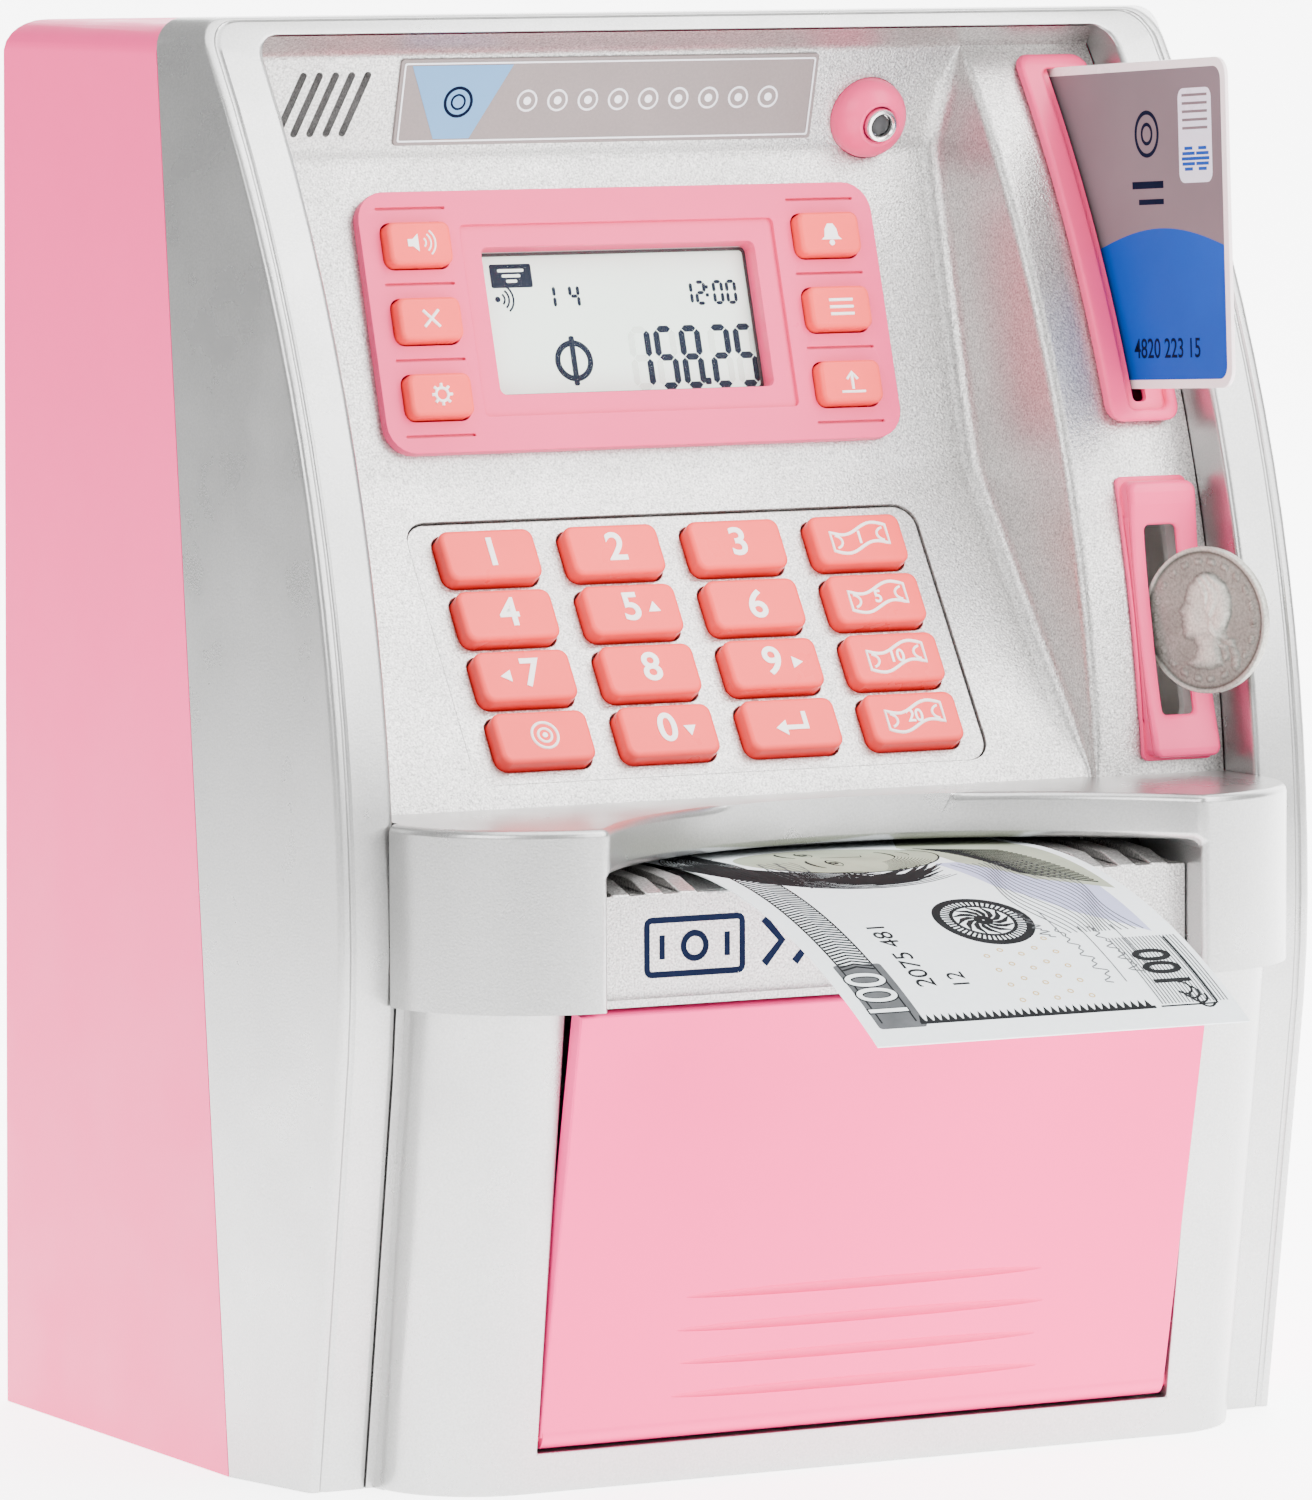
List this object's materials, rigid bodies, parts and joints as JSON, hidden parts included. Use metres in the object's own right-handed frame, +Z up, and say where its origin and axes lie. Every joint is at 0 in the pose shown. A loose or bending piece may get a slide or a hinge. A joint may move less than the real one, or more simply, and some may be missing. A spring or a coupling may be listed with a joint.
{
  "type": "toy cash machine money box",
  "caption": "Toy cash machine money box with keypad, display, card, coin and banknote slots, motor note feed and drop-down safe door.",
  "frame": {"origin": "on the flat underside, on the centre line, where the seam between front and rear cover meets the floor", "axes": "+X to the viewer's right, +Y to the back, +Z up"},
  "size_m": [0.1868, 0.1945, 0.233],
  "materials": {
    "pink_shell": "satin moulded ABS",
    "pink_trim": "glossy moulded ABS",
    "silver_shell": "smooth metallic silver lacquer",
    "silver_grain": "metallic silver lacquer over a fine moulded grain",
    "key_plastic": "glossy moulded ABS with white legends",
    "window": "clear acrylic",
    "lcd": "matte polariser with dark digits",
    "title": "printed film",
    "black_plastic": "moulded",
    "white_plastic": "moulded",
    "bright_metal": "plated",
    "steel": "plain steel",
    "brass": "machined",
    "rubber_grey": "silicone",
    "rubber_black": "moulded rubber",
    "circuit_board": "solder mask",
    "battery": "printed sleeve",
    "card": "printed PVC",
    "coin": "struck and lightly worn",
    "note": "printed paper"
  },
  "bodies": {
    "housing": {"rear_cover": "pink_shell", "base_plate": "pink_shell", "front_frame": "silver_shell", "fascia": "silver_grain", "hood": "silver_shell", "base_front": "silver_shell", "slot_panel": "silver_grain", "key_tray": "silver_grain", "display_bezel": "pink_trim", "alarm_dome": "pink_trim", "card_bezel": "pink_trim", "coin_bezel": "pink_trim", "display_lens": "window", "lcd_panel": "lcd", "title_plate": "title", "speaker": "black_plastic", "alarm_ring": "bright_metal", "card_reader": "black_plastic", "coin_chute": "white_plastic", "key_mat": "rubber_grey", "key_board": "circuit_board", "main_board": "circuit_board", "feed_frame": "black_plastic", "feed_motor": "steel", "cash_box": "white_plastic", "latch_solenoid": "black_plastic", "batteries": "battery", "screws": "steel"},
    "feed_roller": {"feed_shaft": "steel", "feed_tyres": "rubber_black", "drive_gear": "white_plastic"},
    "motor_pinion": {"motor_pinion": "brass"},
    "door": {"safe_door": "pink_shell"},
    "latch": {"latch_plunger": "steel"},
    "battery_cover": {"battery_cover": "pink_shell"},
    "card": {"play_card": "card"},
    "coin": {"play_coin": "coin"},
    "banknote": {"play_banknote": "note"},
    "key_1_a": {"key_1_a": "key_plastic"},
    "key_1_b": {"key_1_b": "key_plastic"},
    "key_1_c": {"key_1_c": "key_plastic"},
    "key_1_d": {"key_1_d": "key_plastic"},
    "key_2_a": {"key_2_a": "key_plastic"},
    "key_2_b": {"key_2_b": "key_plastic"},
    "key_2_c": {"key_2_c": "key_plastic"},
    "key_2_d": {"key_2_d": "key_plastic"},
    "key_3_a": {"key_3_a": "key_plastic"},
    "key_3_b": {"key_3_b": "key_plastic"},
    "key_3_c": {"key_3_c": "key_plastic"},
    "key_3_d": {"key_3_d": "key_plastic"},
    "key_4_a": {"key_4_a": "key_plastic"},
    "key_4_b": {"key_4_b": "key_plastic"},
    "key_4_c": {"key_4_c": "key_plastic"},
    "key_4_d": {"key_4_d": "key_plastic"},
    "function_left_1": {"function_left_1": "key_plastic"},
    "function_left_2": {"function_left_2": "key_plastic"},
    "function_left_3": {"function_left_3": "key_plastic"},
    "function_right_1": {"function_right_1": "key_plastic"},
    "function_right_2": {"function_right_2": "key_plastic"},
    "function_right_3": {"function_right_3": "key_plastic"}
  },
  "joints": [
    {"name": "door_hinge", "type": "hinge", "parent": "housing", "child": "door", "pos_m": [0, -0.0369, 0.0095], "axis": [1, 0, 0], "range_deg": [0, 78]},
    {"name": "latch_slide", "type": "slide", "parent": "housing", "child": "latch", "axis": [0, 0, -1], "range_m": [0, 0.0045], "stiffness_N_per_m": 60, "springref_m": -0.001},
    {"name": "battery_cover_pull", "type": "slide", "parent": "housing", "child": "battery_cover", "axis": [0, 0.9998, 0.0222], "range_m": [0, 0.03]},
    {"name": "feed_roller_spin", "type": "hinge", "parent": "housing", "child": "feed_roller", "pos_m": [0, -0.018, 0.092], "axis": [1, 0, 0], "continuous": true},
    {"name": "motor_pinion_spin", "type": "hinge", "parent": "housing", "child": "motor_pinion", "pos_m": [0, -0.00557, 0.08393], "axis": [1, 0, 0], "continuous": true},
    {"name": "card_slide", "type": "slide", "parent": "housing", "child": "card", "axis": [0, -0.9986, 0.0523], "range_m": [0, 0.045]},
    {"name": "coin_slide", "type": "slide", "parent": "housing", "child": "coin", "axis": [-0.4226, 0.9063, 0], "range_m": [0, 0.012]},
    {"name": "banknote_slide", "type": "slide", "parent": "housing", "child": "banknote", "axis": [0, -1, 0], "range_m": [0, 0.06]},
    {"name": "key_1_a_press", "type": "slide", "parent": "housing", "child": "key_1_a", "axis": [0, 0.8342, -0.5515], "range_m": [0, 0.0012], "stiffness_N_per_m": 300},
    {"name": "key_1_b_press", "type": "slide", "parent": "housing", "child": "key_1_b", "axis": [0, 0.8342, -0.5515], "range_m": [0, 0.0012], "stiffness_N_per_m": 300},
    {"name": "key_1_c_press", "type": "slide", "parent": "housing", "child": "key_1_c", "axis": [0, 0.8342, -0.5515], "range_m": [0, 0.0012], "stiffness_N_per_m": 300},
    {"name": "key_1_d_press", "type": "slide", "parent": "housing", "child": "key_1_d", "axis": [0, 0.8342, -0.5515], "range_m": [0, 0.0012], "stiffness_N_per_m": 300},
    {"name": "key_2_a_press", "type": "slide", "parent": "housing", "child": "key_2_a", "axis": [0, 0.8342, -0.5515], "range_m": [0, 0.0012], "stiffness_N_per_m": 300},
    {"name": "key_2_b_press", "type": "slide", "parent": "housing", "child": "key_2_b", "axis": [0, 0.8342, -0.5515], "range_m": [0, 0.0012], "stiffness_N_per_m": 300},
    {"name": "key_2_c_press", "type": "slide", "parent": "housing", "child": "key_2_c", "axis": [0, 0.8342, -0.5515], "range_m": [0, 0.0012], "stiffness_N_per_m": 300},
    {"name": "key_2_d_press", "type": "slide", "parent": "housing", "child": "key_2_d", "axis": [0, 0.8342, -0.5515], "range_m": [0, 0.0012], "stiffness_N_per_m": 300},
    {"name": "key_3_a_press", "type": "slide", "parent": "housing", "child": "key_3_a", "axis": [0, 0.8342, -0.5515], "range_m": [0, 0.0012], "stiffness_N_per_m": 300},
    {"name": "key_3_b_press", "type": "slide", "parent": "housing", "child": "key_3_b", "axis": [0, 0.8342, -0.5515], "range_m": [0, 0.0012], "stiffness_N_per_m": 300},
    {"name": "key_3_c_press", "type": "slide", "parent": "housing", "child": "key_3_c", "axis": [0, 0.8342, -0.5515], "range_m": [0, 0.0012], "stiffness_N_per_m": 300},
    {"name": "key_3_d_press", "type": "slide", "parent": "housing", "child": "key_3_d", "axis": [0, 0.8342, -0.5515], "range_m": [0, 0.0012], "stiffness_N_per_m": 300},
    {"name": "key_4_a_press", "type": "slide", "parent": "housing", "child": "key_4_a", "axis": [0, 0.8342, -0.5515], "range_m": [0, 0.0012], "stiffness_N_per_m": 300},
    {"name": "key_4_b_press", "type": "slide", "parent": "housing", "child": "key_4_b", "axis": [0, 0.8342, -0.5515], "range_m": [0, 0.0012], "stiffness_N_per_m": 300},
    {"name": "key_4_c_press", "type": "slide", "parent": "housing", "child": "key_4_c", "axis": [0, 0.8342, -0.5515], "range_m": [0, 0.0012], "stiffness_N_per_m": 300},
    {"name": "key_4_d_press", "type": "slide", "parent": "housing", "child": "key_4_d", "axis": [0, 0.8342, -0.5515], "range_m": [0, 0.0012], "stiffness_N_per_m": 300},
    {"name": "function_left_1_press", "type": "slide", "parent": "housing", "child": "function_left_1", "axis": [0, 0.9566, -0.2914], "range_m": [0, 0.0012], "stiffness_N_per_m": 300},
    {"name": "function_left_2_press", "type": "slide", "parent": "housing", "child": "function_left_2", "axis": [0, 0.9566, -0.2914], "range_m": [0, 0.0012], "stiffness_N_per_m": 300},
    {"name": "function_left_3_press", "type": "slide", "parent": "housing", "child": "function_left_3", "axis": [0, 0.9566, -0.2914], "range_m": [0, 0.0012], "stiffness_N_per_m": 300},
    {"name": "function_right_1_press", "type": "slide", "parent": "housing", "child": "function_right_1", "axis": [0, 0.9566, -0.2914], "range_m": [0, 0.0012], "stiffness_N_per_m": 300},
    {"name": "function_right_2_press", "type": "slide", "parent": "housing", "child": "function_right_2", "axis": [0, 0.9566, -0.2914], "range_m": [0, 0.0012], "stiffness_N_per_m": 300},
    {"name": "function_right_3_press", "type": "slide", "parent": "housing", "child": "function_right_3", "axis": [0, 0.9566, -0.2914], "range_m": [0, 0.0012], "stiffness_N_per_m": 300}
  ],
  "couplings": [
    {"joint": "motor_pinion_spin", "follows": "feed_roller_spin", "ratio": -2}
  ]
}
